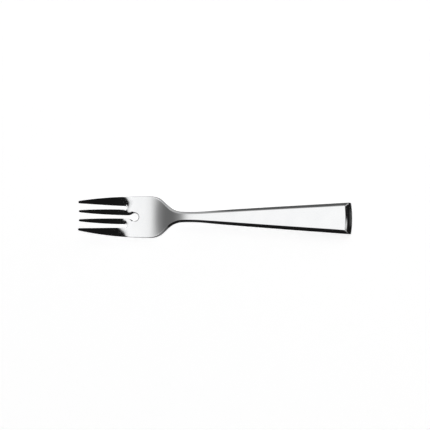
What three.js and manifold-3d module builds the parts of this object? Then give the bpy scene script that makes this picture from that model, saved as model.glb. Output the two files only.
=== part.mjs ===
// A fish fork with a hollow handle, lying on a table with its tines curving up. Millimetres, +Z up.
// X runs along the fork from the tine tips (-X) to the butt (+X), and Y runs across it.
// The origin is on the table, under the middle of the fork.
import * as THREE from "three";
import { mergeVertices } from "three/addons/utils/BufferGeometryUtils.js";
import Module from "manifold-3d";

// Lengths along the fork
const tineLength = 32.1; // tip to the root of a side slot
const bowlLength = 17; // root of the side slots to the shoulders
const shoulderLength = 21.5; // shoulders, from the wide bowl down to the neck
const neckLength = 7.8; // neck to the mouth of the handle
const handleLength = 105.6; // mouth to butt
const tangLength = 48;
const heelLength = 8; // flat of the underside at the butt, which lies on the table

// Widths in plan
const bowlWidth = 28.1;
const neckWidth = 7.35;
const mouthWidth = 7.5;
const buttWidth = 21.5;
const buttRadius = 77; // the end of the handle is a shallow arc in plan

// Tines and slots
const tipPitch = 6.1; // from one tine tip to the next
const innerTipWidth = 1.65;
const outerTipWidth = 1.9;
const innerTipSetback = 0.4; // the inner tines are that much shorter
const innerTineWidth = 4; // at the root
const slotWidth = 2.1; // at the root
const keyholeDiameter = 5.1;
const keyholeReach = 5.4; // side slot root to the centre of the keyhole

// Heights and thicknesses in side view
const tipHeight = 12.6;
const tipAngle = 24; // degrees, slope of the tines at their tips
const lowPointReach = 13; // side slot root to the lowest point of the bowl
const mouthHeight = 8;
const tipThickness = 1.1;
const bowlThickness = 2.1;
const mouthThickness = 4.6;
const buttThickness = 7;
const bowlDish = 0.9; // how far the bowl's edges stand above its middle

// Facets of the handle
const bevelAngle = 38; // degrees, slope of the sides that show from above
const mouthBevel = 1.6; // plan width of that slope at the mouth
const buttBevel = 2.2; // and at the butt
const lowerBevel = 0.8; // at 45 degrees, along the underside
const wallDraft = 7; // degrees, lean of the walls below the handle's widest line
const endChamfer = 4.7; // plan length of the slope at the butt
const endAngle = 36; // degrees

// Walls and clearances of the hollow handle
const shellWall = 0.6;
const fitGap = 0.3; // cement to shell, and cement to tang
const sideCover = 0.8; // cement beside the tang at the mouth
const faceCover = 0.4; // cement above and below the tang at the mouth

// How far the tangents of the smooth curves reach
const tineWaistReach = 14; // along a tine's edges, from the tip
const splayReach = 15; // outer edge of an outer tine, at its tip
const splayRise = 2.8;
const bowlSideReach = 19;
const shoulderReach = 10.3;
const neckReach = 12.5;
const tipSweep = 14; // side view, from the tip
const tineSweep = 18; // side view, from the low point towards the tines
const bowlSweep = 16; // side view, from the low point towards the neck
const neckSweep = 18; // side view, from the mouth back into the neck
const flareReach = 9; // handle's side at the mouth
const flareRise = 0.4;
const sideReach = 62; // handle's side at the butt
const sideFall = 3.8;

// Fineness of the facets
const curveSteps = 10; // segments of a curve in plan
const headSteps = 46; // sections along the head
const acrossSteps = 7; // facets across the bowl, an odd number, so that it rests on a flat one
const handleSteps = 12; // sections along the handle
const buttSteps = 288; // facets of a full turn of the butt's arc
const overshoot = 0.5; // how far a cutting solid passes the face that it cuts

// Places along X
const overallLength = tineLength + bowlLength + shoulderLength + neckLength + handleLength;
const xTip = -overallLength / 2;
const xRoot = xTip + tineLength;
const xKeyhole = xRoot + keyholeReach;
const xLow = xRoot + lowPointReach;
const xShoulder = xRoot + bowlLength;
const xNeck = xShoulder + shoulderLength;
const xMouth = xNeck + neckLength;
const xButt = xMouth + handleLength;
const xHeel = xButt - heelLength;

const { degToRad, lerp, smoothstep } = THREE.MathUtils;
const wasm = await Module();
wasm.setup();

// The value of a plane curve at x, where x grows along the curve.
function curveAt(curve, x) {
  let low = 0;
  let high = 1;
  for (let i = 0; i < 40; i++) {
    const middle = (low + high) / 2;
    if (curve.getPoint(middle).x < x) low = middle;
    else high = middle;
  }
  return curve.getPoint(low).y;
}

function bezier(...points) {
  return new THREE.CubicBezierCurve(...points.map(([x, y]) => new THREE.Vector2(x, y)));
}

// Plan curves of one side: the wide bowl from an outer tip, the shoulder, and the side of the handle
const outerTipEdge = [xTip + outerTipWidth / 2, 1.5 * tipPitch + outerTipWidth / 2];
const bowlSide = bezier(
  outerTipEdge,
  [outerTipEdge[0] + splayReach, outerTipEdge[1] + splayRise],
  [xShoulder - bowlSideReach, bowlWidth / 2],
  [xShoulder, bowlWidth / 2],
);
const shoulderSide = bezier(
  [xShoulder, bowlWidth / 2],
  [xShoulder + shoulderReach, bowlWidth / 2],
  [xNeck - neckReach, neckWidth / 2],
  [xNeck, neckWidth / 2],
);
const handleSide = bezier(
  [xMouth, mouthWidth / 2],
  [xMouth + flareReach, mouthWidth / 2 + flareRise],
  [xButt - sideReach, buttWidth / 2 - sideFall],
  [xButt, buttWidth / 2],
);

// Side view of the top surface: up the tines one way, up the neck the other way, then the straight handle
const handleSlope = (buttThickness - mouthHeight) / handleLength;
const tineProfile = bezier(
  [xTip, tipHeight],
  [xTip + tipSweep, tipHeight - tipSweep * Math.tan(degToRad(tipAngle))],
  [xLow - tineSweep, bowlThickness],
  [xLow, bowlThickness],
);
const neckProfile = bezier(
  [xLow, bowlThickness],
  [xLow + bowlSweep, bowlThickness],
  [xMouth - neckSweep, mouthHeight - neckSweep * handleSlope],
  [xMouth, mouthHeight],
);

// Height of the top surface along the middle
function topAt(x) {
  if (x < xTip) return tipHeight;
  if (x < xLow) return curveAt(tineProfile, x);
  if (x < xMouth) return curveAt(neckProfile, x);
  return mouthHeight + (x - xMouth) * handleSlope;
}

function thicknessAt(x) {
  if (x < xShoulder) return lerp(tipThickness, bowlThickness, smoothstep(x, xTip, xRoot));
  if (x < xMouth) return lerp(bowlThickness, mouthThickness, smoothstep(x, xShoulder, xMouth));
  const underside = (mouthHeight - mouthThickness) * Math.max(0, (xHeel - x) / (xHeel - xMouth));
  return topAt(x) - underside;
}

// Half of the fork's width, with the tines taken as wide as the bowl
function halfWidthAt(x) {
  if (x < xShoulder) return bowlWidth / 2;
  if (x < xNeck) return curveAt(shoulderSide, x);
  if (x < xMouth) return lerp(neckWidth, mouthWidth, (x - xNeck) / neckLength) / 2;
  return curveAt(handleSide, Math.min(x, xButt));
}

// Closed surface through rings of equally many points, with a flat fan over each end
function loft(rings) {
  const count = rings[0].length;
  const index = [];
  for (let i = 0; i + 1 < rings.length; i++) {
    for (let j = 0; j < count; j++) {
      const a = i * count + j;
      const b = i * count + ((j + 1) % count);
      index.push(a, b, b + count, a, b + count, a + count);
    }
  }
  const last = (rings.length - 1) * count;
  for (let j = 1; j + 1 < count; j++) {
    index.push(0, j + 1, j, last, last + j, last + j + 1);
  }
  const geometry = new THREE.BufferGeometry();
  geometry.setFromPoints(rings.flat());
  geometry.setIndex(index);
  return geometry;
}

function solid(geometry) {
  geometry.deleteAttribute("normal");
  geometry.deleteAttribute("uv");
  const merged = mergeVertices(geometry, 1e-5);
  return new wasm.Manifold(
    new wasm.Mesh({
      numProp: 3,
      vertProperties: new Float32Array(merged.attributes.position.array),
      triVerts: new Uint32Array(merged.index.array),
    }),
  );
}

function mesh(name, body, material) {
  const { vertProperties, triVerts } = body.getMesh();
  const geometry = new THREE.BufferGeometry();
  geometry.setAttribute("position", new THREE.BufferAttribute(vertProperties, 3));
  geometry.setIndex(new THREE.BufferAttribute(triVerts, 1));
  geometry.computeVertexNormals();
  const made = new THREE.Mesh(geometry, material);
  made.name = name;
  return made;
}

// Evenly spaced values from start to end, both included
function spread(start, end, steps) {
  return Array.from({ length: steps + 1 }, (_, i) => lerp(start, end, i / steps));
}

// Outline of the head on the +Y side, from the end of the keyhole round the tines to the mouth of the handle
function headSide() {
  const slotHalf = slotWidth / 2;
  const keyholeRadius = keyholeDiameter / 2;
  const throat = Math.asin(slotHalf / keyholeRadius);
  const innerTip = innerTipWidth / 2;
  const outerTip = outerTipWidth / 2;
  const xInnerTip = xTip + innerTipSetback + innerTip;
  const innerEdge = slotHalf + innerTineWidth;
  const xWaist = xTip + tineWaistReach;
  const side = new THREE.Path();
  side.moveTo(xKeyhole + keyholeRadius, 0);
  side.absarc(xKeyhole, 0, keyholeRadius, 0, Math.PI - throat, false);
  side.quadraticCurveTo(xWaist, slotHalf, xInnerTip, tipPitch / 2 - innerTip);
  side.absarc(xInnerTip, tipPitch / 2, innerTip, -Math.PI / 2, -1.5 * Math.PI, true);
  side.quadraticCurveTo(xWaist, innerEdge, xRoot - slotHalf, innerEdge);
  side.absarc(xRoot - slotHalf, innerEdge + slotHalf, slotHalf, -Math.PI / 2, Math.PI / 2, false);
  side.lineTo(xTip + outerTip, 1.5 * tipPitch - outerTip);
  side.absarc(xTip + outerTip, 1.5 * tipPitch, outerTip, -Math.PI / 2, -1.5 * Math.PI, true);
  for (const { v1, v2, v3 } of [bowlSide, shoulderSide]) {
    side.bezierCurveTo(v1.x, v1.y, v2.x, v2.y, v3.x, v3.y);
  }
  side.lineTo(xMouth, mouthWidth / 2);
  return side.getPoints(curveSteps);
}

// Upright prism over the whole outline of the head, slots and keyhole left open
function headPrism() {
  const side = headSide();
  const mirrored = side.slice(1).reverse().map(({ x, y }) => new THREE.Vector2(x, -y));
  const height = tipHeight + mouthHeight;
  const geometry = new THREE.ExtrudeGeometry(new THREE.Shape([...side, ...mirrored]), {
    depth: height,
    bevelEnabled: false,
  });
  return solid(geometry.translate(0, 0, -overshoot));
}

// One section of the formed blank: dished top and underside, with bevels that grow from the shoulders to the neck
function blankSection(x) {
  const formed = smoothstep(x, xShoulder, xNeck);
  const half = halfWidthAt(x) + overshoot;
  const dish = bowlDish * (1 - formed);
  const upper = lerp(overshoot / 2, mouthBevel + overshoot, formed);
  const lower = lerp(overshoot / 2, lowerBevel + overshoot, formed);
  const top = topAt(x);
  const bottom = top - thicknessAt(x);
  const rise = (y) => dish * (y / (bowlWidth / 2)) ** 2;
  const topEdge = half - upper;
  const lowEdge = half - lower;
  const drop = upper * Math.tan(degToRad(bevelAngle));
  const underside = spread(-lowEdge, lowEdge, acrossSteps).map((y) => [y, bottom + rise(y)]);
  const face = spread(topEdge, -topEdge, acrossSteps).map((y) => [y, top + rise(y)]);
  const wallTop = top + rise(topEdge) - drop;
  const wallFoot = bottom + rise(lowEdge) + lower;
  const ring = [...underside, [half, wallFoot], [half, wallTop], ...face, [-half, wallTop], [-half, wallFoot]];
  return ring.map(([y, z]) => new THREE.Vector3(x, y, z));
}

// Middle of the handle's thickness
function middleAt(x) {
  return topAt(x) - thicknessAt(x) / 2;
}

// The tang is what the mouth leaves for it inside the shells and their cement. grown adds its clearance all round.
function tang(grown) {
  const halfWidth = mouthWidth / 2 - shellWall - 2 * fitGap - sideCover + grown;
  const halfThickness = mouthThickness / 2 - shellWall - 2 * fitGap - faceCover + grown;
  const xEnd = xMouth + tangLength + grown;
  const rings = [xMouth - overshoot, xEnd - halfWidth, xEnd].map((x) => {
    const half = x === xEnd ? halfWidth / 2 : halfWidth;
    const z = middleAt(x);
    const corners = [
      [-half, z - halfThickness],
      [half, z - halfThickness],
      [half, z + halfThickness],
      [-half, z + halfThickness],
    ];
    return corners.map(([y, height]) => new THREE.Vector3(x, y, height));
  });
  return solid(loft(rings));
}

function forkHead() {
  const blank = loft(spread(xTip - overshoot, xMouth + overshoot, headSteps).map(blankSection));
  return solid(blank).intersect(headPrism()).add(tang(0));
}

// Eight-sided section of the handle: flat top, sloping sides, walls that draw in, small bevels underneath.
// inset moves every face inwards by the same distance.
function handleSection(x, inset) {
  const slope = degToRad(bevelAngle);
  const along = (x - xMouth) / handleLength;
  const half = halfWidthAt(x) - inset;
  const top = topAt(x) - inset;
  const bottom = topAt(x) - thicknessAt(x) + inset;
  const upper = lerp(mouthBevel, buttBevel, along) - inset * (1 - Math.tan(slope / 2));
  const lower = lowerBevel - inset * (1 - Math.tan(Math.PI / 8));
  const drop = upper * Math.tan(slope);
  const taper = (top - drop - bottom - lower) * Math.tan(degToRad(wallDraft));
  const right = [
    [half - taper - lower, bottom],
    [half - taper, bottom + lower],
    [half, top - drop],
    [half - upper, top],
  ];
  const left = right.map(([y, z]) => [-y, z]).reverse();
  return [...right, ...left].map(([y, z]) => new THREE.Vector3(x, y, z));
}

// Turned solid whose rim is the end of the handle: an arc in plan, with a long chamfer above and a small one below
function buttForm(inset) {
  const rim = buttRadius - inset;
  const top = buttThickness - inset;
  const cut = Math.tan(degToRad(endAngle));
  const above = mouthHeight;
  const wallHead = top - endChamfer * cut;
  const wallFoot = inset + lowerBevel;
  const foot = rim - (wallHead - wallFoot) * Math.tan(degToRad(wallDraft));
  const profile = [
    [0, inset - above],
    [foot - lowerBevel - above, inset - above],
    [foot, wallFoot],
    [rim, wallHead],
    [rim - endChamfer - above / cut, top + above],
    [0, top + above],
  ];
  const geometry = new THREE.LatheGeometry(profile.map(([r, z]) => new THREE.Vector2(r, z)), buttSteps);
  geometry.rotateX(Math.PI / 2).translate(xButt - buttRadius, 0, 0);
  return solid(geometry);
}

// The handle's form from xStart to the butt, with its faces moved in by inset
function handleForm(xStart, inset) {
  const stations = [...spread(xStart, xHeel, handleSteps), xButt + overshoot];
  return solid(loft(stations.map((x) => handleSection(x, inset)))).intersect(buttForm(inset));
}

// Everything above the plane where the two shells meet, half way up the handle's walls
function abovePartingPlane() {
  const reach = buttWidth;
  const wallMiddle = (x) => {
    const [, foot, head] = handleSection(x, 0);
    return (foot.z + head.z) / 2;
  };
  const rings = [xMouth - overshoot, xButt + overshoot].map((x) => {
    const parting = wallMiddle(xMouth) + ((x - xMouth) / handleLength) * (wallMiddle(xButt) - wallMiddle(xMouth));
    const corners = [
      [-reach, parting],
      [reach, parting],
      [reach, mouthHeight + reach],
      [-reach, mouthHeight + reach],
    ];
    return corners.map(([y, z]) => new THREE.Vector3(x, y, z));
  });
  return solid(loft(rings));
}

const polishedSteel = () => new THREE.MeshStandardMaterial({ color: 0xd6d8db, metalness: 1, roughness: 0.08 });
const cement = new THREE.MeshStandardMaterial({ color: 0xb8ac98, metalness: 0, roughness: 0.9 });

const casing = handleForm(xMouth, 0).subtract(handleForm(xMouth - overshoot, shellWall));
const upperHalf = abovePartingPlane();
const filling = handleForm(xMouth + fitGap, shellWall + fitGap).subtract(tang(fitGap));

const fork = new THREE.Group();
fork.add(mesh("fork_head", forkHead(), polishedSteel()));
fork.add(mesh("handle_upper_shell", casing.intersect(upperHalf), polishedSteel()));
fork.add(mesh("handle_lower_shell", casing.subtract(upperHalf), polishedSteel()));
fork.add(mesh("handle_cement", filling, cement));

export default fork;
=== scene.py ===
import math

import bpy
import numpy as np
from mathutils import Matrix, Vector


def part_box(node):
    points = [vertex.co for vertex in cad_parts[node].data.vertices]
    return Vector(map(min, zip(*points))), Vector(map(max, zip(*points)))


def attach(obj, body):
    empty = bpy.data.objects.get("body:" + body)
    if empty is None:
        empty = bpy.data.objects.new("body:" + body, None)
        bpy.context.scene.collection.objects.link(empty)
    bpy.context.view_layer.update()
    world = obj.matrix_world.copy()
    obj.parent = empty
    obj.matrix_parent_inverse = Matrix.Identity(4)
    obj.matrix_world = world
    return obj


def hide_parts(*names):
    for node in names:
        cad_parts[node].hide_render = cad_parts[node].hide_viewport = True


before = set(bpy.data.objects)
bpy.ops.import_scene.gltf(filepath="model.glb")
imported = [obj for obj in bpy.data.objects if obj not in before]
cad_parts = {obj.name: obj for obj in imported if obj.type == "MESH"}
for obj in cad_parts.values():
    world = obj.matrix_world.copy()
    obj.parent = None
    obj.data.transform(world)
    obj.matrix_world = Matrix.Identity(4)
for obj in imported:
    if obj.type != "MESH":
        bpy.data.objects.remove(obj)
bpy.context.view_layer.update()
bpy.context.scene.view_settings.view_transform = "Standard"

# Camera: a long lens almost straight above the fork. It leans a little towards the fork's near side,
# and the fork lies a fraction of a degree off level in the picture.
mm = 0.001
picture_width = 288.9 * mm
lens = 180
sensor = 36
camera_lean = math.radians(3.44)
camera_turn = math.radians(0.43)
aim = np.array([-0.49, 1.53, 6.0]) * mm
camera_reach = picture_width * lens / sensor
camera_back = np.array(
    [
        math.sin(camera_lean) * math.sin(camera_turn),
        -math.sin(camera_lean) * math.cos(camera_turn),
        math.cos(camera_lean),
    ]
)
bpy.ops.object.camera_add(
    location=aim + camera_back * camera_reach, rotation=(camera_lean, 0, camera_turn)
)
camera = bpy.context.object
camera.data.lens = lens
camera.data.sensor_width = sensor
bpy.context.scene.camera = camera

# Table: a plain white sheet under the fork. It shows white to the camera and in the steel, and it is
# lit by the tent, so it keeps the fork's soft shadow.
table_width = 12
paper_white = 0.9
paper_glow_strength = 0.7
bpy.ops.object.select_all(action="DESELECT")
bpy.ops.mesh.primitive_plane_add(size=table_width)
table = bpy.context.object
table.name = "table"


def maths(material, operation, result, *others):
    for other in others:
        node = material.node_tree.nodes.new("ShaderNodeMath")
        node.operation = operation
        for socket, value in zip(node.inputs, (result, other)):
            if isinstance(value, (int, float)):
                socket.default_value = value
            else:
                material.node_tree.links.new(value, socket)
        result = node.outputs[0]
    return result


paper = bpy.data.materials.new("white_paper")
paper.use_nodes = True
nodes = paper.node_tree.nodes
links = paper.node_tree.links
nodes.clear()
paper_lit = nodes.new("ShaderNodeBsdfDiffuse")
paper_lit.inputs["Color"].default_value = (paper_white, paper_white, paper_white, 1)
paper_glow = nodes.new("ShaderNodeEmission")
seen = nodes.new("ShaderNodeLightPath")
direct = [seen.outputs[ray] for ray in ("Is Camera Ray", "Is Glossy Ray", "Is Transmission Ray")]
direct_glow = maths(paper, "MULTIPLY", maths(paper, "ADD", *direct), paper_glow_strength)
links.new(direct_glow, paper_glow.inputs["Strength"])
paper_sum = nodes.new("ShaderNodeAddShader")
links.new(paper_lit.outputs[0], paper_sum.inputs[0])
links.new(paper_glow.outputs[0], paper_sum.inputs[1])
paper_out = nodes.new("ShaderNodeOutputMaterial")
links.new(paper_sum.outputs[0], paper_out.inputs["Surface"])
table.data.materials.append(paper)

# Room: plain white beyond the edge of the table
room = bpy.data.worlds.new("white_room")
bpy.context.scene.world = room
room.use_nodes = True
room.node_tree.nodes["Background"].inputs["Color"].default_value = (1, 1, 1, 1)
room.node_tree.nodes["Background"].inputs["Strength"].default_value = 1

# Light tent: a dome of cloth over the table, lit white overhead, black to the right and to the near
# side, and grey to the left and the far side. Polished steel shows nothing but its surroundings.
tent_radius = 3
tent_glow_strength = 1.2
dark_cloth = 0.008
roof_skew = 0.23
bpy.ops.object.select_all(action="DESELECT")
bpy.ops.mesh.primitive_uv_sphere_add(segments=64, ring_count=32, radius=tent_radius)
tent = bpy.context.object
tent.name = "light_tent"
bpy.ops.object.mode_set(mode="EDIT")
bpy.ops.mesh.select_all(action="SELECT")
bpy.ops.mesh.bisect(plane_co=(0, 0, 0), plane_no=(0, 0, 1), clear_inner=True)
bpy.ops.object.mode_set(mode="OBJECT")
tent.visible_camera = False


def fade(material, value, start, end, low=0.0, high=1.0):
    node = material.node_tree.nodes.new("ShaderNodeMapRange")
    node.interpolation_type = "SMOOTHSTEP"
    material.node_tree.links.new(value, node.inputs["Value"])
    node.inputs["From Min"].default_value = start
    node.inputs["From Max"].default_value = end
    node.inputs["To Min"].default_value = low
    node.inputs["To Max"].default_value = high
    return node.outputs[0]


def graded(material, value, levels):
    start = levels[0][0]
    end = levels[-1][0]
    place = material.node_tree.nodes.new("ShaderNodeMapRange")
    place.inputs["From Min"].default_value = start
    place.inputs["From Max"].default_value = end
    material.node_tree.links.new(value, place.inputs["Value"])
    ramp = material.node_tree.nodes.new("ShaderNodeValToRGB")
    material.node_tree.links.new(place.outputs[0], ramp.inputs[0])
    stops = ramp.color_ramp.elements
    for at, level in levels[1:-1]:
        stops.new((at - start) / (end - start)).color = (level, level, level, 1)
    for stop, (at, level) in ((stops[0], levels[0]), (stops[-1], levels[-1])):
        stop.color = (level, level, level, 1)
    return ramp.outputs[0]


cloth = bpy.data.materials.new("tent_cloth")
cloth.use_nodes = True
nodes = cloth.node_tree.nodes
links = cloth.node_tree.links
nodes.clear()
spot = nodes.new("ShaderNodeTexCoord")
spot_xyz = nodes.new("ShaderNodeSeparateXYZ")
links.new(spot.outputs["Object"], spot_xyz.inputs[0])

# A place on the cloth, seen from the fork: how far it leans from overhead, and its bearing in degrees
lean_x = maths(cloth, "DIVIDE", spot_xyz.outputs["X"], spot_xyz.outputs["Z"])
lean_y = maths(cloth, "DIVIDE", spot_xyz.outputs["Y"], spot_xyz.outputs["Z"])
lean_squares = [maths(cloth, "MULTIPLY", lean, lean) for lean in (lean_x, lean_y)]
reach = maths(cloth, "POWER", maths(cloth, "ADD", *lean_squares), 0.5)
bearing = maths(cloth, "ARCTAN2", spot_xyz.outputs["Y"], spot_xyz.outputs["X"])
bearing = maths(cloth, "MULTIPLY", bearing, 180 / math.pi)

# The lit roof: its right edge is sharp and a little askew, and it dims slowly to the left
slanted = maths(cloth, "SUBTRACT", lean_x, maths(cloth, "MULTIPLY", lean_y, roof_skew))
left_levels = (
    (-1.4, 0.12), (-0.9, 0.132), (-0.78, 0.143), (-0.675, 0.166), (-0.577, 0.2), (-0.466, 0.25),
    (-0.374, 0.35), (-0.306, 0.475), (-0.249, 0.61), (-0.194, 0.745), (-0.14, 0.86), (-0.087, 0.91),
    (-0.03, 0.96), (0.1, 1),
)
roof = maths(
    cloth,
    "MULTIPLY",
    fade(cloth, slanted, 0.204, 0.178),
    fade(cloth, slanted, 0.193, 0.096, 0.75, 1),
    graded(cloth, lean_x, left_levels),
    fade(cloth, lean_y, -0.5, -0.34),
    fade(cloth, lean_y, 1.5, 1.1),
)

# The walls, by bearing. They darken towards the table, apart from the near wall, which stays grey.
wall_levels = (
    (-180, 0.134), (-130, 0.1), (-105, 0.012), (-77, 0.012), (-69, 0.19), (-42, 0.19), (-25, 0.04),
    (-8, 0.012), (10, 0.012), (25, 0.1), (40, 0.6), (52, 0.42), (66, 0.36), (80, 0.42), (100, 0.44),
    (125, 0.2), (150, 0.13), (180, 0.134),
)
walls = maths(
    cloth,
    "MULTIPLY",
    graded(cloth, bearing, wall_levels),
    fade(cloth, reach, 1.1, 1.5),
    fade(cloth, reach, 2.9, 5.2, 1, 0.22),
)
near_wall = maths(
    cloth,
    "MULTIPLY",
    fade(cloth, bearing, -86, -76, 0, 0.19),
    fade(cloth, bearing, -25, -42),
    fade(cloth, reach, 1.9, 2.6),
)

# White cards before the walls at the right: two half-way up, one low at the far corner, and a faint
# strip of light down at the table
card_levels = (
    (-180, 0), (-34, 0), (-16, 0.75), (0.6, 0.75), (2.3, 0.5), (3.8, 0.012), (8.4, 0.012), (10.8, 0.85),
    (54, 0.85), (66, 0), (180, 0),
)
cards = maths(
    cloth,
    "MULTIPLY",
    graded(cloth, bearing, card_levels),
    fade(cloth, reach, 1.2, 1.3),
    fade(cloth, reach, 2.6, 1.6),
)
low_card = maths(
    cloth,
    "MULTIPLY",
    fade(cloth, bearing, 16, 26, 0, 0.85),
    fade(cloth, bearing, 72, 60),
    fade(cloth, reach, 2.6, 3.2),
)
glint = maths(
    cloth,
    "MULTIPLY",
    fade(cloth, bearing, -2, 1, 0, 0.06),
    fade(cloth, bearing, 9, 6),
    fade(cloth, reach, 5, 8),
)
lit = maths(cloth, "MAXIMUM", roof, walls, near_wall, cards, low_card, glint, dark_cloth)
cloth_glow = nodes.new("ShaderNodeEmission")
links.new(maths(cloth, "MULTIPLY", lit, tent_glow_strength), cloth_glow.inputs["Strength"])
cloth_out = nodes.new("ShaderNodeOutputMaterial")
links.new(cloth_glow.outputs[0], cloth_out.inputs["Surface"])
tent.data.materials.append(cloth)

# Polished skin: head, neck and handle are ground and polished as one surface, so one sheet with the
# outline of the fork is drawn in plan, thickened rim by rim, rounded, and then parted at its seams.
# A copy of the handle's part of it, moved in by the wall, becomes the inside of the two shells.
x_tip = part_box("fork_head")[0].x
x_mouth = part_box("handle_upper_shell")[0].x
x_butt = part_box("handle_lower_shell")[1].x
x_root = x_tip + 32.1 * mm
x_keyhole = x_root + 5.4 * mm
x_low = x_root + 13 * mm
x_shoulder = x_root + 17 * mm
x_neck = x_shoulder + 21.5 * mm
x_formed = 10 * mm
x_heel = x_butt - 8 * mm
bowl_half = 14.05 * mm
neck_half = 3.72 * mm
mouth_half = 3.75 * mm
butt_half = 10.8 * mm
butt_radius = 77 * mm
slot_half = 1.05 * mm
slot_axis = 6.1 * mm
keyhole_radius = 2.55 * mm
tip_height = 12.6 * mm
mouth_height = 8 * mm
tip_thickness = 1.1 * mm
bowl_thickness = 2.1 * mm
mouth_thickness = 4.6 * mm
butt_thickness = 7 * mm
bowl_dish = 0.9 * mm
end_fall = math.tan(math.radians(36))
butt_bevel = 2.24 * mm
lower_bevel = 0.8 * mm
end_chamfer = 4.7 * mm
wall_draft = math.tan(math.radians(7))
shell_wall = 0.6 * mm


def ease(x, start, end):
    share = min(max((x - start) / (end - start), 0), 1)
    return share * share * (3 - 2 * share)


def mix(first, second, share):
    return first + (second - first) * share


def point_on(curve, share):
    points = np.array(curve, float)
    while len(points) > 1:
        points = points[:-1] + (points[1:] - points[:-1]) * share
    return points[0]


def level_on(curve, x):
    low, high = 0.0, 1.0
    for _ in range(40):
        middle = (low + high) / 2
        if point_on(curve, middle)[0] < x:
            low = middle
        else:
            high = middle
    return point_on(curve, low)[1]


# The fork from the side, then its outline in plan, as control points of smooth curves
x_inner_tip = x_tip + 0.4 * mm
x_inner_start = x_inner_tip + 0.825 * mm
x_outer_start = x_tip + 0.95 * mm
tine_waist = 14 * mm
tine_rise = math.tan(math.radians(24))
x_waist = x_tip + tine_waist
x_slot_arc = x_root - slot_half
handle_slope = (butt_thickness - mouth_height) / (x_butt - x_mouth)
tine_profile = [
    (x_tip, tip_height),
    (x_waist, tip_height - tine_waist * tine_rise),
    (x_low - 18 * mm, bowl_thickness),
    (x_low, bowl_thickness),
]
neck_profile = [
    (x_low, bowl_thickness),
    (x_low + 16 * mm, bowl_thickness),
    (x_mouth - 18 * mm, mouth_height - 18 * mm * handle_slope),
    (x_mouth, mouth_height),
]
bowl_side = [
    (x_outer_start, 10.1 * mm),
    (x_tip + 15.95 * mm, 12.9 * mm),
    (x_shoulder - 19 * mm, bowl_half),
    (x_shoulder, bowl_half),
]
shoulder_side = [
    (x_shoulder, bowl_half),
    (x_shoulder + 10.6 * mm, bowl_half),
    (x_neck - 12.5 * mm, neck_half),
    (x_neck, neck_half),
]
handle_side = [
    (x_mouth, mouth_half),
    (x_mouth + 9 * mm, mouth_half + 0.4 * mm),
    (x_butt - 62 * mm, butt_half - 3.8 * mm),
    (x_butt, butt_half),
]
tine_edges = [
    [(x_inner_start, 2.225 * mm), (x_waist, slot_half), (x_keyhole - 2.3 * mm, slot_half)],
    [(x_inner_start, 3.875 * mm), (x_waist, slot_axis - slot_half), (x_slot_arc, slot_axis - slot_half)],
    [(x_outer_start, 8.2 * mm), (x_slot_arc, slot_axis + slot_half)],
]


def tine_edge_at(edge, x):
    return level_on(tine_edges[edge], max(x, tine_edges[edge][0][0]))


def top_at(x):
    if x < x_low:
        return level_on(tine_profile, x)
    if x < x_mouth:
        return level_on(neck_profile, x)
    return mouth_height + (x - x_mouth) * handle_slope


def thickness_at(x):
    if x < x_shoulder:
        return mix(tip_thickness, bowl_thickness, ease(x, x_tip, x_root))
    if x < x_mouth:
        return mix(bowl_thickness, mouth_thickness, ease(x, x_shoulder, x_mouth))
    return top_at(x) - (mouth_height - mouth_thickness) * max(0, (x_heel - x) / (x_heel - x_mouth))


def half_width_at(x):
    if x < x_shoulder:
        return level_on(bowl_side, max(x, bowl_side[0][0]))
    if x < x_neck:
        return level_on(shoulder_side, x)
    if x < x_mouth:
        return mix(neck_half, mouth_half, (x - x_neck) / (x_mouth - x_neck))
    return level_on(handle_side, min(x, x_butt))


def bevel_at(x):
    if x < x_mouth:
        from_tip = np.array([0, 8, 30, 37, 45, 49, 54, 59, 65, 72]) * mm
        bevels = np.array([0.1, 0.1, 0.12, 0.3, 0.35, 0.5, 1.2, 1.7, 1.85, 1.86]) * mm
        return np.interp(x - x_tip, from_tip, bevels)
    along_handle = [x_mouth, x_formed, 72 * mm, x_butt]
    return np.interp(x, along_handle, [1.86 * mm, 1.95 * mm, 2.3 * mm, butt_bevel])


def slot_bevel_at(x):
    return np.interp(x, [x_root + 1 * mm, x_root + 2.5 * mm], [0.12 * mm, 0.35 * mm])


def bevel_angle_at(x):
    return math.radians(np.interp(x, [x_neck, x_mouth, x_formed, 30 * mm], [33, 34.5, 38, 40]))


# Stations along the fork, closest together round the slots, the keyhole and the mitres of the butt
x_end = x_butt - end_chamfer * end_fall / (end_fall + handle_slope)
tine_stations = [-92, -91.1, -89.4, -87.0, -84.0, -80.6, -77.0, -73.4, -70.0, -67.0, -64.6, -62.8, -61.3]
root_stations = [-59.9, -58.5]
keyhole_stations = [-57.1, -55.7, -54.3, -53.0, -51.7]
bowl_stations = [-50.2, -48.5, -46.6, -44.5, -42.3, -40.1, -37.9, -35.8, -33.8, -31.8, -29.6, -27.2, -24.5]
neck_stations = [-21.5, -17.8]
handle_stations = [-9.2, -3.5, 4, 14, 27, 41, 55, 67, 76, 82]
head_stations = tine_stations + root_stations + keyhole_stations + bowl_stations + neck_stations
stations = [x * mm for x in head_stations]
mouth_station = len(stations)
stations += [x_mouth] + [x * mm for x in handle_stations]
stations += [x_end - step * mm for step in (1.0, 0.5, 0.16, 0)]
last = len(stations) - 1

# The chamfer of the butt is crowned: it falls away gently at first and then more steeply
end_reach = x_butt - x_end
end_break = 0.42
end_first = math.tan(math.radians(27))
end_last = (end_fall - end_first * end_break) / (1 - end_break)


def end_drop(share):
    return end_reach * (end_first * min(share, end_break) + end_last * max(share - end_break, 0))


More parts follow.
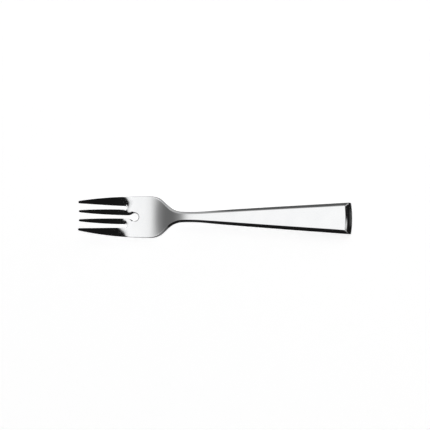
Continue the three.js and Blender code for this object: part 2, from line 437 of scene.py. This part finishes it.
# At the rim the stations stand further out, so that the side bevels meet the chamfer in mitres
tiny = 0.01 * mm
side_drop = butt_bevel * math.tan(bevel_angle_at(x_butt))
mitre_foot = x_end
while end_drop((mitre_foot - x_end) / end_reach) < side_drop:
    mitre_foot += tiny
outer_stations = list(stations)
outer_stations[-5] = 83 * mm
outer_stations[-4] = mitre_foot - 0.4 * mm
outer_stations[-3] = mitre_foot
outer_stations[-2] = mitre_foot + 0.4 * mm
outer_stations[-1] = x_butt + 0.16 * mm

# Edges of the strips in plan: an inner tine's two edges, an outer tine's two edges
root_index = len(tine_stations)
keyhole_index = root_index + len(root_stations)
arc_index = root_index - 2
keyhole_last = keyhole_index + len(keyhole_stations) - 1
root_step = math.radians(45)
root_reach = slot_half * 3 / (2 + math.cos(root_step))
keyhole_step = math.radians(37.5)
keyhole_reach = keyhole_radius * 3 / (2 + math.cos(keyhole_step))
setback_stations = 4
edges = np.zeros((4, len(stations), 2))
for index, x in enumerate(stations):
    half = half_width_at(x)
    x_in = x + (x_inner_tip - x_tip) * max(0, 1 - index / setback_stations)
    if index < keyhole_index:
        edges[0, index] = x_in, tine_edge_at(0, x_in)
    elif index <= keyhole_last:
        angle = keyhole_step * (keyhole_last - index)
        edges[0, index] = x_keyhole + keyhole_reach * math.cos(angle), keyhole_reach * math.sin(angle)
    else:
        edges[0, index] = x, 0
    if index < arc_index:
        edges[1, index] = x_in, tine_edge_at(1, x_in)
        edges[2, index] = x, tine_edge_at(2, x)
    elif index <= root_index:
        angle = root_step * (root_index - index)
        x_arc = x_slot_arc + root_reach * math.cos(angle)
        edges[1, index] = x_arc, slot_axis - root_reach * math.sin(angle)
        edges[2, index] = x_arc, slot_axis + root_reach * math.sin(angle)
    else:
        shared = mix(slot_axis, slot_axis / bowl_half * half, ease(x, x_root, x_low))
        edges[1, index] = x, shared
        edges[2, index] = x, shared
    edges[3, index] = x, half
tip_round = 0.34 * mm
tip_narrowing = 0.14 * mm
tip_bulge = 0.06 * mm
for edge, side in enumerate((1, -1, 1, -1)):
    x_first = x_inner_tip if edge < 2 else x_tip
    edges[edge, 0] = x_first + tip_round, edges[edge, 1, 1] + side * tip_narrowing

# The sheet: one strip for each tine of one half, drawn from its tip to the butt, then mirrored
lines = 3
bpy.ops.object.select_all(action="DESELECT")
strips = []
for strip in range(2):
    bpy.ops.mesh.primitive_grid_add(x_subdivisions=last, y_subdivisions=lines, size=2)
    sheet = bpy.context.object
    sheet.data.attributes.new("station", "INT", "POINT")
    sheet.data.attributes.new("line", "INT", "POINT")
    station_of = sheet.data.attributes["station"]
    line_of = sheet.data.attributes["line"]
    for vertex in sheet.data.vertices:
        station = round((vertex.co.x + 1) / 2 * last)
        line = round((vertex.co.y + 1) / 2 * lines)
        x, y = mix(edges[2 * strip, station], edges[2 * strip + 1, station], line / lines)
        if station == 0 and 0 < line < lines:
            x = (x_inner_tip if strip == 0 else x_tip) - tip_bulge
        vertex.co = (x, y, 0)
        station_of.data[vertex.index].value = station
        line_of.data[vertex.index].value = line + strip * lines
    strips.append(sheet)
for sheet in strips:
    sheet.select_set(True)
bpy.ops.object.join()
skin = bpy.context.object
skin.name = "polished_skin"
bpy.ops.object.modifier_add(type="MIRROR")
skin.modifiers[-1].use_axis = (False, True, False)
skin.modifiers[-1].merge_threshold = tiny
bpy.ops.object.modifier_apply(modifier=skin.modifiers[-1].name)
bpy.ops.object.mode_set(mode="EDIT")
bpy.ops.mesh.select_all(action="SELECT")
bpy.ops.mesh.remove_doubles(threshold=tiny)
bpy.ops.mesh.normals_make_consistent(inside=False)
bpy.ops.object.mode_set(mode="OBJECT")
if skin.data.polygons[0].normal.z < 0:
    skin.data.flip_normals()

# Outward direction of the outline at each corner of the sheet
count = len(skin.data.vertices)
plan = np.array([vertex.co for vertex in skin.data.vertices])[:, :2]
station_of = np.array([item.value for item in skin.data.attributes["station"].data])
line_of = np.array([item.value for item in skin.data.attributes["line"].data])
outward = np.zeros((count, 2))
walks = []
for polygon in skin.data.polygons:
    ring = list(polygon.vertices)
    walks += zip(ring, ring[1:] + ring[:1])
inner_walks = set(walks)
for start, end in walks:
    if (end, start) not in inner_walks:
        step = plan[end] - plan[start]
        step = step / np.linalg.norm(step)
        outward[start] += (step[1], -step[0])
        outward[end] += (step[1], -step[0])
outward_size = np.linalg.norm(outward, axis=1)
rim = outward_size > 0
outward[rim] = outward[rim] / outward_size[rim, None]

# Polishing rolls the top of each tine off towards its edges, most of all beside the keyhole
roll_depth = 0.24 * mm
roll_reach = 1.6 * mm
keyhole_rolls = (0.36 * mm, 0.08 * mm)


def polish_at(x, y, line, on_rim):
    if x >= x_low:
        return 0
    x_slot = min(x, x_slot_arc)
    tine_sides = [tine_edge_at(edge, x_slot) for edge in range(3)] + [half_width_at(x)]
    own_sides = tine_sides[:2] if line < lines else tine_sides[2:]
    away = 0
    if not on_rim and line != lines:
        away = min(abs(abs(y) - level) for level in own_sides)
    roll = roll_depth * math.exp(-((away / roll_reach) ** 2))
    roll *= 1 - ease(x, x_root + 1 * mm, x_root + 9 * mm)
    if line < len(keyhole_rolls):
        keyhole_roll = keyhole_rolls[line] * ease(x, x_root - 8 * mm, x_root)
        roll += keyhole_roll * (1 - ease(x, x_keyhole - 2 * mm, x_keyhole + 1.5 * mm))
    return roll


# Sizes of the roundings: how close the next line keeps to a ridge, how far ridges and edges are rounded,
# and the most that a rounding takes of its bevel or wall
neck_hold = 0.2 * mm
mouth_hold = 0.34 * mm
shoulder_hold = 0.6 * mm
handle_hold = 0.85 * mm
neck_ridge = 0.12 * mm
mouth_ridge = 0.3 * mm
shoulder_ridge = 0.5 * mm
handle_ridge = 0.6 * mm
butt_ridge = 0.6 * mm
chamfer_ridge_share = 0.06
most_of_bevel_near = 0.5
most_of_bevel_far = 0.65
most_of_wall = 0.7
sharp_edge = 0.05 * mm
blunt_edge = 1.3 * mm
slot_slope = 0.84
head_lower_bevel = 0.35 * mm

# The lines across head and handle, the drawn-out corners and the arc of the butt, and the parting line
strip_share = 0.434
line_shares = (0, 0.15, 0.3, 0.45, 0.68)
corner_shift = np.array([0.2, 0.12]) * mm
corner_shares = (0, 0, 0, 0, 0, 0.2, 1)
x_bend = 76 * mm
x_flare = 70 * mm
x_bent = x_end - 1.0 * mm
parting_mouth = 5.475 * mm
parting_butt = 3.04 * mm
lower_bevel_angle = math.radians(45)
low_step = shell_wall * math.tan(lower_bevel_angle / 2)

# Places of each corner at each level, from the underside's edge up to the edge of the top face
levels = 8
parting_level = 2
places = np.zeros((levels, count, 3))
inner_places = np.zeros((levels, count, 3))
for corner in range(count):
    x, y = plan[corner]
    line = line_of[corner]
    place = station_of[corner]
    on_rim = rim[corner]
    on_handle = place >= mouth_station
    at_end = place > last - 2
    at_side = line == 2 * lines
    side = -1 if y < 0 else 1
    formed = ease(x, x_shoulder, x_neck)
    soft = ease(x, x_shoulder, x_shoulder + 4 * mm) * (1 - ease(x, x_neck - 7 * mm, x_neck + 1 * mm))
    bevel = bevel_at(x) if at_side else slot_bevel_at(x)
    lower = mix(head_lower_bevel, lower_bevel, formed)

    # In plan: the edge of the top face, the rim and the edge of the underside
    top = plan[corner].copy()
    out = plan[corner].copy()
    low = plan[corner].copy()
    drop = 0
    x_top = stations[place]
    x_out = outer_stations[place]
    half_top = half_width_at(x_top) - bevel_at(x_top)
    half_out = half_width_at(x_out)
    half_low = half_out - lower_bevel
    if on_handle:
        hold = mix(mouth_hold, handle_hold, ease(x_top, x_mouth, x_formed))
        share = (*line_shares, 1 - hold / half_top, 1)[line]
        bent = ease(x_top, x_bend, x_bent) / (2 * butt_radius)
        top = np.array([x_top - bent * (share * half_top) ** 2, side * share * half_top])
        out = np.array([x_out - bent * (share * half_out) ** 2, side * share * half_out])
        low = np.array([x_out - bent * (share * half_low) ** 2, side * share * half_low])
        if place == last:
            top += corner_shift * (1, side) * corner_shares[line]
            low[0] -= lower_bevel
        if not on_rim:
            out = top.copy()
        drop = bevel_at(x_out) * math.tan(bevel_angle_at(x_out))
        if at_end:
            drop = end_drop((x_out - x_end) / end_reach)
    elif on_rim:
        top = out - outward[corner] * bevel
        low = out - outward[corner] * lower
        drop = mix(bevel * slot_slope, bevel * math.tan(bevel_angle_at(x)), formed)
    elif line > lines and x > x_low:
        inner = strip_share * half_width_at(x)
        edge = half_width_at(x) - bevel_at(x)
        hold = max(mix(neck_hold, mouth_hold, ease(x, x_neck, x_mouth)), shoulder_hold * soft)
        held = 1 - hold / (edge - inner)
        held = mix(2 / lines, held, ease(x, x_shoulder - 3 * mm, x_shoulder + 4 * mm))
        share = held if line == lines + 2 else 1 / lines
        top[1] = side * mix(inner, edge, share)
        low = top.copy()

    # Heights of the top, the rim, the parting line and the underside
    rise = (1 - formed) * bowl_dish
    x_body = min(max(out[0], x_tip), x_butt)
    z_top = top_at(min(top[0], x_butt)) + rise * (top[1] / bowl_half) ** 2
    z_out = top_at(x_body) + rise * (out[1] / bowl_half) ** 2
    z_low = z_out - thickness_at(x_body)
    roll = polish_at(x, y, line, on_rim)
    z_top -= roll
    z_rim = z_out - roll - drop
    z_parting = (z_low + lower + z_rim) / 2
    if on_handle:
        z_rim = z_top - drop if at_end else top_at(x_out) - drop
        z_parting = mix(parting_mouth, parting_butt, (x_out - x_mouth) / (x_butt - x_mouth))
    z_foot = z_low + lower

    # Roundings: near the ridge at the top of the bevel, far down it, and on the wall below the rim
    along = np.linalg.norm(np.append(out - top, z_rim - z_top)) if on_rim else 1
    ridge_round = max(mix(neck_ridge, mouth_ridge, ease(x, x_neck, x_mouth)), shoulder_ridge * soft)
    ridge_round += handle_ridge * ease(x_top, x_mouth, x_formed)
    ridge_round += butt_ridge * ease(x_top, x_flare, x_bent)
    near = min(ridge_round / along, most_of_bevel_near)
    blunt = ease(x, x_shoulder - 1 * mm, x_shoulder + 8 * mm)
    blunt *= 1 - ease(x, x_mouth - 2 * mm, x_mouth + 20 * mm)
    edge_round = mix(sharp_edge, blunt_edge, blunt)
    far = 1 - min(edge_round / along, most_of_bevel_far)
    z_near = mix(z_top, z_rim, near)
    z_far = mix(z_top, z_rim, far)
    z_hold = z_rim - min(edge_round, (z_rim - z_parting) * most_of_wall)
    if at_end and on_rim:
        near = chamfer_ridge_share
        far = end_break
        spread = (x_out - x_end) / end_reach
        z_near = z_top - end_drop(near * spread)
        z_far = z_top - end_drop(far * spread)

    # The walls of the handle draw in towards the underside
    inward = np.zeros(2)
    if on_handle and on_rim:
        inward = np.array([-1.0 if place == last else 0.0, -side if at_side else 0.0])
    draft = wall_draft * ease(x, x_mouth, x_mouth + 12 * mm)
    foot_in = inward * draft * (z_rim - z_foot)
    parting_in = inward * draft * (z_rim - z_parting)
    hold_in = inward * draft * (z_rim - z_hold)
    places[0, corner] = *(low + foot_in), z_low
    places[1, corner] = *(out + foot_in), z_foot
    places[2, corner] = *(out + parting_in), z_parting
    places[3, corner] = *(out + hold_in), z_hold
    places[4, corner] = *out, z_rim
    places[5, corner] = *mix(top, out, far), z_far
    places[6, corner] = *mix(top, out, near), z_near
    places[7, corner] = *top, z_top

    # The inside of the handle, one wall's thickness in from each face
    if on_handle:
        fall = math.atan(end_fall) if at_end else bevel_angle_at(x_out)
        top_step = shell_wall * math.tan(fall / 2)
        rim_step = shell_wall * math.tan((math.pi / 2 - fall) / 2)
        end_share = min(max((x_top - x_end) / mm + 1, 0), 1)
        top = np.array([top[0] - top_step * end_share, top[1] * (1 - top_step / half_top)])
        out = np.array([out[0], out[1] * (1 - shell_wall / half_out)])
        low = np.array([low[0], low[1] * (1 - low_step / half_low)])
        if place == last:
            out[0] -= shell_wall
            low[0] -= low_step
        z_top -= shell_wall
        z_rim -= rim_step
        inner_places[0, corner] = *(low + foot_in), z_low + shell_wall
        inner_places[1, corner] = *(out + foot_in), z_foot + low_step
        inner_places[2, corner] = *(out + parting_in), z_parting
        inner_places[3, corner] = *(out + hold_in), z_hold - rim_step
        inner_places[4, corner] = *out, z_rim
        inner_places[5, corner] = *mix(top, out, far), mix(z_top, z_rim, far)
        inner_places[6, corner] = *mix(top, out, near), mix(z_top, z_rim, near)
        inner_places[7, corner] = *top, z_top

# The sheet is laid at the lowest level and raised level by level
skin.data.attributes.new("level", "INT", "POINT")
skin.data.attributes.new("place", "INT", "POINT")
for vertex in skin.data.vertices:
    vertex.co = places[0, vertex.index]
    skin.data.attributes["place"].data[vertex.index].value = vertex.index
bpy.ops.object.mode_set(mode="EDIT")
bpy.ops.mesh.select_mode(type="FACE")
bpy.ops.mesh.select_all(action="SELECT")
for level in range(1, levels):
    bpy.ops.mesh.extrude_region()
    bpy.ops.object.mode_set(mode="OBJECT")
    place_of = skin.data.attributes["place"].data
    level_of = skin.data.attributes["level"].data
    for vertex in skin.data.vertices:
        if vertex.select:
            vertex.co = places[level, place_of[vertex.index].value]
            level_of[vertex.index].value = level
    bpy.ops.object.mode_set(mode="EDIT")
bpy.ops.mesh.select_all(action="SELECT")
bpy.ops.mesh.normals_make_consistent(inside=False)
bpy.ops.object.mode_set(mode="OBJECT")

# Each piece of the skin gets a slot, so that it can be parted from the others after the rounding
for name in ("head", "upper_shell", "lower_shell"):
    skin.data.materials.append(bpy.data.materials.new(name))
place_of = skin.data.attributes["place"].data
level_of = skin.data.attributes["level"].data
for polygon in skin.data.polygons:
    corner_stations = [station_of[place_of[index].value] for index in polygon.vertices]
    corner_levels = [level_of[index].value for index in polygon.vertices]
    if min(corner_stations) >= mouth_station:
        polygon.material_index = 1 if min(corner_levels) >= parting_level else 2

# The inside of the shells: the handle's part of the skin, moved in by the thickness of the wall
bpy.ops.object.duplicate()
lining = bpy.context.object
lining.name = "handle_lining"
place_of = lining.data.attributes["place"].data
level_of = lining.data.attributes["level"].data
for vertex in lining.data.vertices:
    vertex.co = inner_places[level_of[vertex.index].value, place_of[vertex.index].value]
bpy.ops.object.mode_set(mode="EDIT")
bpy.ops.mesh.select_all(action="DESELECT")
bpy.ops.object.mode_set(mode="OBJECT")
for polygon in lining.data.polygons:
    polygon.select = polygon.material_index == 0
bpy.ops.object.mode_set(mode="EDIT")
bpy.ops.mesh.delete(type="FACE")
bpy.ops.object.mode_set(mode="OBJECT")

# Both are rounded by subdivision and parted into their pieces
roundings = 2


def round_and_part(whole):
    bpy.ops.object.select_all(action="DESELECT")
    whole.select_set(True)
    bpy.context.view_layer.objects.active = whole
    bpy.ops.object.modifier_add(type="SUBSURF")
    whole.modifiers[-1].levels = roundings
    whole.modifiers[-1].render_levels = roundings
    bpy.ops.object.modifier_apply(modifier=whole.modifiers[-1].name)
    bpy.ops.object.mode_set(mode="EDIT")
    bpy.ops.mesh.select_all(action="SELECT")
    bpy.ops.mesh.separate(type="MATERIAL")
    bpy.ops.object.mode_set(mode="OBJECT")
    return {piece.data.materials[0].name: piece for piece in bpy.context.selected_objects}


outsides = round_and_part(skin)
insides = round_and_part(lining)

# Fork head: tines, bowl, shoulders and neck, one forging of stainless steel, curved up at the tines and
# ground to its bevels. Its tang runs from the mouth into the handle, where cement holds it.
tang_reach = 48 * mm
tang_half_width = 1.75 * mm
tang_half_thickness = 0.7 * mm
tang_end_share = 0.5
crease_angle = math.radians(40)
head = outsides["head"]
head.name = "polished_head"


def select_open_edges(piece):
    bpy.ops.object.select_all(action="DESELECT")
    piece.select_set(True)
    bpy.context.view_layer.objects.active = piece
    bpy.ops.object.mode_set(mode="EDIT")
    bpy.ops.mesh.select_mode(type="EDGE")
    bpy.ops.mesh.select_all(action="DESELECT")
    bpy.ops.mesh.select_non_manifold()


def middle_at(x):
    return np.array([x, 0, top_at(x) - thickness_at(x) / 2])


x_tang_end = x_mouth + tang_reach
x_tang_taper = x_tang_end - tang_half_width
select_open_edges(head)
bpy.ops.mesh.edge_face_add()
bpy.ops.mesh.extrude_region()
bpy.ops.transform.resize(
    value=(1, tang_half_width / mouth_half, tang_half_thickness / (mouth_thickness / 2)),
    center_override=middle_at(x_mouth),
)
bpy.ops.mesh.extrude_region()
bpy.ops.transform.translate(value=middle_at(x_tang_taper) - middle_at(x_mouth))
bpy.ops.mesh.extrude_region()
bpy.ops.transform.translate(value=middle_at(x_tang_end) - middle_at(x_tang_taper))
bpy.ops.transform.resize(value=(1, tang_end_share, 1), center_override=middle_at(x_tang_end))
bpy.ops.mesh.select_all(action="SELECT")
bpy.ops.mesh.normals_make_consistent(inside=False)
bpy.ops.object.mode_set(mode="OBJECT")
bpy.ops.object.shade_smooth_by_angle(angle=crease_angle)

# Mirror-polished stainless steel: fine buffing lines along the fork, and a faint unevenness of the polish
steel = bpy.data.materials.new("polished_steel")
steel.use_nodes = True
nodes = steel.node_tree.nodes
links = steel.node_tree.links
steel_shader = nodes["Principled BSDF"]
steel_shader.inputs["Metallic"].default_value = 1
steel_spot = nodes.new("ShaderNodeTexCoord")
buffing_place = nodes.new("ShaderNodeMapping")
buffing_place.inputs["Scale"].default_value = (60, 3000, 3000)
links.new(steel_spot.outputs["Object"], buffing_place.inputs["Vector"])
buffing = nodes.new("ShaderNodeTexNoise")
buffing.inputs["Scale"].default_value = 1
buffing.inputs["Detail"].default_value = 3
links.new(buffing_place.outputs[0], buffing.inputs["Vector"])
haze = nodes.new("ShaderNodeTexNoise")
haze.inputs["Scale"].default_value = 110
haze.inputs["Detail"].default_value = 4
links.new(steel_spot.outputs["Object"], haze.inputs["Vector"])
steel_tone = nodes.new("ShaderNodeValToRGB")
steel_tone.color_ramp.elements[0].position = 0.3
steel_tone.color_ramp.elements[0].color = (0.765, 0.771, 0.777, 1)
steel_tone.color_ramp.elements[1].position = 0.7
steel_tone.color_ramp.elements[1].color = (0.795, 0.799, 0.803, 1)
links.new(haze.outputs[0], steel_tone.inputs[0])
links.new(steel_tone.outputs[0], steel_shader.inputs["Base Color"])
buffed_polish = fade(steel, buffing.outputs[0], 0.3, 0.7, 0.05, 0.075)
hazy_polish = fade(steel, haze.outputs[0], 0.35, 0.75, 0, 0.015)
links.new(maths(steel, "ADD", buffed_polish, hazy_polish), steel_shader.inputs["Roughness"])
buffed = nodes.new("ShaderNodeBump")
buffed.inputs["Strength"].default_value = 0.1
buffed.inputs["Distance"].default_value = 0.002 * mm
links.new(buffing.outputs[0], buffed.inputs["Height"])
links.new(buffed.outputs[0], steel_shader.inputs["Normal"])
head.data.materials.clear()
head.data.materials.append(steel)
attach(head, "root")
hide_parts("fork_head")

# Upper half shell of the handle: pressed from stainless sheet, with the flat top, the sloping sides and
# the long chamfer of the butt. It is welded to the lower half, and the seam is polished away.
upper_shell = outsides["upper_shell"]
upper_shell.name = "polished_upper_shell"


def give_wall(outside, inside):
    inside.data.flip_normals()
    bpy.ops.object.select_all(action="DESELECT")
    inside.select_set(True)
    outside.select_set(True)
    bpy.context.view_layer.objects.active = outside
    bpy.ops.object.join()
    select_open_edges(outside)
    bpy.ops.mesh.bridge_edge_loops()
    bpy.ops.mesh.select_all(action="SELECT")
    bpy.ops.mesh.normals_make_consistent(inside=False)
    bpy.ops.object.mode_set(mode="OBJECT")
    bpy.ops.object.shade_smooth_by_angle(angle=crease_angle)


give_wall(upper_shell, insides["upper_shell"])
upper_shell.data.materials.clear()
upper_shell.data.materials.append(steel)
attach(upper_shell, "root")
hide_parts("handle_upper_shell")

# Lower half shell of the handle: pressed from the same sheet, with the underside, its small bevels and
# the flat heel that the fork rests on. It is welded to the upper half.
lower_shell = outsides["lower_shell"]
lower_shell.name = "polished_lower_shell"
give_wall(lower_shell, insides["lower_shell"])
lower_shell.data.materials.clear()
lower_shell.data.materials.append(steel)
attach(lower_shell, "root")
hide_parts("handle_lower_shell")

# Handle cement: a grey-brown filling, poured into the hollow handle round the tang, where it sets. It is
# gritty, with small air holes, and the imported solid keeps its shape.
grit_height = 0.5
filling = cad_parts["handle_cement"]
cement = bpy.data.materials.new("handle_cement")
cement.use_nodes = True
nodes = cement.node_tree.nodes
links = cement.node_tree.links
cement_shader = nodes["Principled BSDF"]
cement_shader.inputs["Specular IOR Level"].default_value = 0.25
cement_spot = nodes.new("ShaderNodeTexCoord")
grit = nodes.new("ShaderNodeTexNoise")
grit.inputs["Scale"].default_value = 1600
grit.inputs["Detail"].default_value = 5
links.new(cement_spot.outputs["Object"], grit.inputs["Vector"])
air_holes = nodes.new("ShaderNodeTexVoronoi")
air_holes.inputs["Scale"].default_value = 420
links.new(cement_spot.outputs["Object"], air_holes.inputs["Vector"])
cement_tone = nodes.new("ShaderNodeValToRGB")
cement_tone.color_ramp.elements[0].position = 0.25
cement_tone.color_ramp.elements[0].color = (0.52, 0.47, 0.4, 1)
cement_tone.color_ramp.elements[1].position = 0.75
cement_tone.color_ramp.elements[1].color = (0.76, 0.71, 0.63, 1)
links.new(grit.outputs[0], cement_tone.inputs[0])
links.new(cement_tone.outputs[0], cement_shader.inputs["Base Color"])
links.new(fade(cement, grit.outputs[0], 0.3, 0.7, 0.82, 0.95), cement_shader.inputs["Roughness"])
cement_height = fade(cement, air_holes.outputs["Distance"], 0.05, 0.3)
cement_height = maths(cement, "ADD", cement_height, maths(cement, "MULTIPLY", grit.outputs[0], grit_height))
cement_relief = nodes.new("ShaderNodeBump")
cement_relief.inputs["Strength"].default_value = 0.6
cement_relief.inputs["Distance"].default_value = 0.15 * mm
links.new(cement_height, cement_relief.inputs["Height"])
links.new(cement_relief.outputs[0], cement_shader.inputs["Normal"])
for material_slot in filling.material_slots:
    material_slot.material = cement
